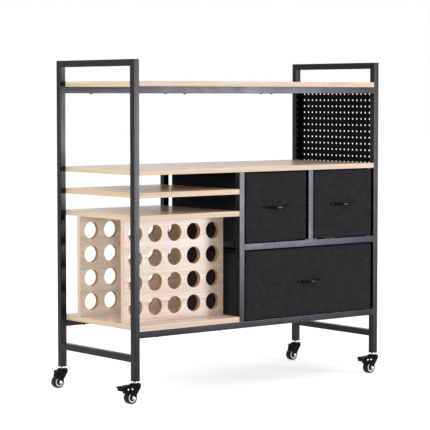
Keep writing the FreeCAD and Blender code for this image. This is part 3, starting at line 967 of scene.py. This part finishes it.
def pulls():
    """Bow pulls: a crowned strap swept along its bow, and the screws from inside the drawer."""
    for name in drawers:
        node = f"{name}_pull"
        low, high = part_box(node)
        face_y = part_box(f"{name}_bin")[0].y
        middle = (low + high) / 2
        projection = face_y - low.y
        path = strap_path(high.x - low.x, projection)
        half_height = (high.z - low.z) / 2
        rings = []
        for k, (px, out, width, thick) in enumerate(path):
            before, after = path[max(0, k - 1)], path[min(len(path) - 1, k + 1)]
            slope = Vector((after[0] - before[0], after[1] - before[1])).normalized()
            normal = Vector((-slope.y, slope.x))
            end = min(k, len(path) - 1 - k)
            taper = (0.80, 0.93, 1.0)[min(2, end)]
            at = Vector((middle.x + px, face_y, middle.z - pull_droop * out / projection))
            rings.append(strap_section(at, out, normal, half_height * width * taper,
                                       thick * pull_thickness))
        bm = bmesh.new()
        loft(bm, rings)
        spread = (high.x - low.x - pull_pad) / 2
        for px in (middle.x - spread, middle.x + spread):
            inside = Vector((px, face_y + front_thickness, middle.z))
            button_head(bm, inside, Y, pull_screw_head_radius, pull_screw_head_height)
            shank(bm, inside, -Y, pull_screw_radius, front_thickness, 20)
        finished(bm, f"{name}_pull_strap", node, [pull_black], 42.0)


def strap_section(at, out, normal, half_height, thickness):
    """Ring round the strap: flat at its back, crowned at its front, with soft edges."""
    shape = [(-1.0, 0.12), (-1.0, 0.50), (-0.90, 0.78), (-0.6, 0.93), (0.0, 1.0), (0.6, 0.93),
             (0.90, 0.78), (1.0, 0.50), (1.0, 0.12), (0.92, 0.0), (-0.92, 0.0)]
    ring = []
    for tall, thick in shape:
        push = thick * thickness
        ring.append(at + Vector((normal.x * push, -(out + normal.y * push), tall * half_height)))
    return ring


def drawer_pieces():
    """Bin, front, binding and stitches of each drawer."""
    for name in drawers:
        low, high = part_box(f"{name}_bin")
        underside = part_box(f"{name}_base_board")[0].z - bin_floor
        body_low = Vector((low.x, low.y + bin_rim_setback, underside))
        bin_body(name, body_low, high)
        front_panel(name, low, high)
        rim_tape(name, body_low, high)
    pulls()


def caster_axis(spot):
    """Point on the floor under the stem of the caster at that spot."""
    end, side = spot.split("_")
    post = middle_of(f"{side}_{end}_post")
    return Vector((post.x, post.y, 0.0))


def crown(bm, at):
    """Round cap of the fork, hollow below, with the swivel hole through it."""
    outer = arc((crown_radius - crown_edge, crown_top - crown_edge), crown_edge, 90.0, -90.0, 6)
    soft, groove_floor = 0.4 * MM, crown_top - 0.5 * MM
    profile = [(swivel_hole_radius, crown_top), (7.6 * MM, crown_top), (8.2 * MM, groove_floor),
               (9.6 * MM, groove_floor), (10.2 * MM, crown_top), *outer,
               (crown_radius, crown_low + 0.5 * MM), (crown_radius - soft, crown_low),
               (crown_inner_radius + soft, crown_low), (crown_inner_radius, crown_low + 0.5 * MM),
               (crown_inner_radius, crown_roof), (swivel_hole_radius, crown_roof)]
    lathe(bm, profile, at, Z, 56, closed=True)


def cheek_points(braked):
    """Side view of a cheek about the stem: round toe at the axle, straight flanks, square top."""
    rise, run = crown_low - wheel_radius, shoulder_reach + trail
    tangent = math.atan2(rise, run) - math.acos(toe_radius / math.hypot(rise, run))
    front = math.degrees(tangent)
    toe = arc((-trail, wheel_radius), toe_radius, front, -180.0 - front, 18)
    back = [(-trail - toe_radius, web_low)]
    if braked:
        back += [(-brake_arm_reach, web_low), (-brake_arm_reach, brake_arm_high)]
    top = [(-shoulder_reach, cheek_top), (shoulder_reach, cheek_top)]
    return toe + back + top + [(shoulder_reach, crown_low)]


def fork_piece(spot, braked, at):
    """Crown, cheeks with a pressed bead round the axle, and the web of an unbraked fork."""
    overlap = 0.2 * MM
    bm = bmesh.new()
    crown(bm, at)
    points = cheek_points(braked)
    for side in (-1, 1):
        near, far = sorted((side * cheek_inner, side * cheek_outer))
        slab(bm, points, at, near, far, cheek_edge)
        boss = at + Vector((-trail, side * cheek_outer, wheel_radius))
        profile = [(6.6 * MM, -overlap), (6.3 * MM, 0.25 * MM), (5.4 * MM, boss_rise),
                   (axle_radius, boss_rise), (axle_radius, -overlap)]
        lathe(bm, profile, boss, Y * side, 40, closed=True)
    if not braked:
        inside = cheek_inner + overlap
        block(bm, at + Vector((-web_reach, -inside, web_low)),
              at + Vector((-web_front_reach, inside, web_high)), web_edge)
    finished(bm, f"{spot}_fork_moulded", f"{spot}_fork", [fork_black])


def hex_nut(bm, centre, axis, radius, height):
    """Hexagon with its corners turned off, on a round washer."""
    washer = 0.9 * MM
    lathe(bm, [(0.0, 0.0), (radius, 0.0), (radius, 0.7 * washer), (0.94 * radius, washer),
               (0.0, washer)], centre, axis, 36)
    lathe(bm, [(0.0, washer), (0.93 * radius, washer), (0.93 * radius, 0.72 * height),
               (0.84 * radius, 0.80 * height), (0.0, 0.80 * height)], centre, axis, 6)
    lathe(bm, [(0.0, 0.80 * height), (0.62 * radius, 0.80 * height), (0.56 * radius, 0.93 * height),
               (0.3 * radius, height), (0.0, height)], centre, axis, 32)


def rivet_head(bm, centre, axis, radius, height):
    """Domed rivet head."""
    points = [(radius * math.cos(math.radians(a)), height * math.sin(math.radians(a)))
              for a in (0, 15, 30, 45, 60, 75)]
    lathe(bm, [(0.0, 0.0), *points, (0.0, height)], centre, axis, 32)


def cross_pin(bm, middle, radius, half_length, segments):
    """Pin from cheek to cheek."""
    corners = [(0.0, -half_length), (radius, -half_length),
               (radius, half_length), (0.0, half_length)]
    lathe(bm, corners, middle, Y, segments)


def pin_pieces(spot, braked, at):
    """Axle bolt with its nut, and the rivets of a brake."""
    bm = bmesh.new()
    axle = at + Vector((-trail, 0.0, wheel_radius))
    outer = cheek_outer + washer_seat
    cross_pin(bm, axle, axle_radius, outer, 32)
    hex_nut(bm, axle - Y * outer, -Y, nut_radius, nut_height)
    hex_nut(bm, axle + Y * outer, Y, nut_radius, axle_head_height)
    if braked:
        for reach in rivet_reaches:
            pin = at + Vector((-reach, 0.0, rivet_height))
            cross_pin(bm, pin, rivet_radius, cheek_outer, 24)
            for out in (-Y, Y):
                rivet_head(bm, pin + out * cheek_outer, out, rivet_head_radius, rivet_head_height)
    finished(bm, f"{spot}_pins_turned", f"{spot}_pins", [zinc])


def mirrored_ring(half_profile, centre, segments):
    """Ring about the axle whose two sides are alike, from the points of one side."""
    bm = bmesh.new()
    mirrored = [(radius, -height) for radius, height in reversed(half_profile) if height > 0.0]
    lathe(bm, half_profile + mirrored, centre, Y, segments, closed=True)
    return bm


def wheel_pieces(spot):
    """Tyre with a rounded tread, pale ring and dark hub."""
    centre = middle_of(f"{spot}_tyre")
    half = wheel_width / 2
    crest = (wheel_radius - tyre_edge, half - tyre_edge)
    tread = [(ring_radius, half - 0.6 * MM), (ring_radius + 0.5 * MM, half - 0.05 * MM),
             *arc(crest, tyre_edge, 90.0, -90.0, 8), (wheel_radius, 0.0)]
    finished(mirrored_ring(tread, centre, 72), f"{spot}_tyre_tread", f"{spot}_tyre",
             [tyre_rubber], 50.0)

    face = half - 0.5 * MM
    lip = [(ring_radius, face - 0.8 * MM), (ring_radius - 0.3 * MM, face),
           (hub_radius + 0.6 * MM, face), (hub_radius, face - 0.6 * MM)]
    finished(mirrored_ring(lip, centre, 64), f"{spot}_wheel_ring", f"{spot}_wheel_core",
             [ring_white])

    dish, boss = half - 2.2 * MM, half - 0.2 * MM
    cup = [(hub_radius - 0.02 * MM, dish), (6.6 * MM, dish - 0.5 * MM), (6.0 * MM, boss),
           (axle_radius + 0.1 * MM, boss)]
    finished(mirrored_ring(cup, centre, 56), f"{spot}_wheel_hub", f"{spot}_wheel_core",
             [hub_black])


def pedal_piece(spot):
    """Brake pedal: the frame's own lever with soft edges, and grip bars across its sloping tip."""
    node = f"{spot}_brake_pedal"
    bm = from_frame(node, pedal_edge, 3)
    low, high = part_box(node)
    for k in range(grip_bars):
        px = low.x + grip_start + grip_pitch * k
        pz = high.z - grip_drop + grip_climb * k
        block(bm, (px - grip_half, low.y + grip_margin, pz - grip_half),
              (px + grip_half, high.y - grip_margin, pz + grip_rise), grip_edge)
    finished(bm, f"{node}_moulded", node, [plastic_black])


def stems():
    """Turned collars and stems above the four forks."""
    collar_edge_radius = collar_radius - 0.5 * MM
    thread_edge = 0.6 * MM
    profile = [(0.0, stem_head_low), (stem_head_radius, stem_head_low),
               (stem_head_radius, stem_head_top), (stem_radius, stem_head_top),
               (stem_radius, collar_low), (collar_edge_radius, collar_low),
               (collar_radius, collar_low + 0.55 * MM), (collar_radius, collar_top - 0.7 * MM),
               (collar_edge_radius, collar_top), (thread_radius, collar_top),
               (thread_radius, thread_top - thread_edge),
               (thread_radius - thread_edge, thread_top), (0.0, thread_top)]
    bm = bmesh.new()
    for spot in spots:
        lathe(bm, profile, caster_axis(spot), Z, 40)
    finished(bm, "caster_stems_turned", "caster_stems", [zinc])


def caster_pieces():
    """All parts of the four casters."""
    for spot in spots:
        at = caster_axis(spot)
        braked = spot.startswith("front")
        fork_piece(spot, braked, at)
        pin_pieces(spot, braked, at)
        wheel_pieces(spot)
        if braked:
            pedal_piece(spot)
    stems()
    refined("leg_sockets", plastic_black, "moulded")


def camera():
    """Camera at the photograph's viewpoint."""
    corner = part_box("left_front_post")[0]
    data = bpy.data.cameras.new("camera")
    data.lens = camera_lens
    data.sensor_width = sensor_width
    data.clip_end = 100.0
    made = bpy.data.objects.new("camera", data)
    bpy.context.scene.collection.objects.link(made)
    made.location = (corner.x - camera_left, corner.y - camera_back, camera_height)
    made.rotation_euler = (math.radians(90.0 - camera_pitch), 0.0, math.radians(-camera_yaw))
    bpy.context.scene.camera = made


def area_light(name, location, target, size, power, colour=(1.0, 1.0, 1.0)):
    """Rectangular soft box that faces target."""
    data = bpy.data.lights.new(name, "AREA")
    data.shape = "RECTANGLE"
    data.size, data.size_y = size
    data.energy = power
    data.color = colour
    made = bpy.data.objects.new(name, data)
    bpy.context.scene.collection.objects.link(made)
    made.location = location
    made.rotation_euler = (Vector(target) - Vector(location)).to_track_quat("-Z", "Y").to_euler()


def seen_directly(tree):
    """1 for rays that see the background itself: camera, mirror and glass rays."""
    path = add_node(tree, "ShaderNodeLightPath").outputs
    value = path["Is Camera Ray"]
    for name in ("Is Glossy Ray", "Is Transmission Ray"):
        made = add_node(tree, "ShaderNodeMath", {"operation": "MAXIMUM"})
        tree.links.new(value, made.inputs[0])
        tree.links.new(path[name], made.inputs[1])
        value = made.outputs[0]
    return value


def studio():
    """Pale floor, white surroundings and three soft boxes."""
    world = bpy.data.worlds.new("studio")
    bpy.context.scene.world = world
    world.use_nodes = True
    tree = world.node_tree
    background = tree.nodes["Background"]
    background.inputs["Color"].default_value = (1.0, 1.0, 1.0, 1.0)
    strength = add_node(tree, "ShaderNodeMapRange", Value=seen_directly(tree),
                        To_Min=surroundings_strength, To_Max=1.0)
    tree.links.new(strength.outputs["Result"], background.inputs["Strength"])

    bpy.ops.mesh.primitive_plane_add(size=60.0, location=(0.0, 0.0, floor_level))
    floor = bpy.context.active_object
    floor.name = "floor"
    material, tree, shader, place = new_finish("floor", 0.9, specular=0.1)
    tone = noise_of(tree, place, 3.0)
    colour = ramp(tree, tone, [(0.3, srgb(232, 232, 232)), (0.7, srgb(236, 236, 236))])
    tree.links.new(colour, shader.inputs["Base Color"])
    shader.inputs["Emission Color"].default_value = (1.0, 1.0, 1.0, 1.0)
    glow = add_node(tree, "ShaderNodeMapRange", Value=seen_directly(tree),
                    To_Min=0.0, To_Max=floor_glow)
    tree.links.new(glow.outputs["Result"], shader.inputs["Emission Strength"])
    floor.data.materials.append(material)

    area_light("key", (2.41, -3.25, 0.60), (0.0, -0.2, 0.5), (0.92, 1.1), 86.0, (0.90, 0.92, 1.0))
    area_light("fill", (-2.7, -0.7, 1.5), (0.0, 0.0, 0.5), (1.6, 1.6), 40.0)
    area_light("top", (0.4, -0.6, 3.2), (0.0, 0.0, 0.5), (2.2, 2.2), 8.0)
    bpy.context.scene.view_settings.view_transform = "Standard"


steel_pieces()
board_pieces()
roll_panels()
side_panel()
fasteners()
drawer_pieces()
caster_pieces()
camera()
studio()
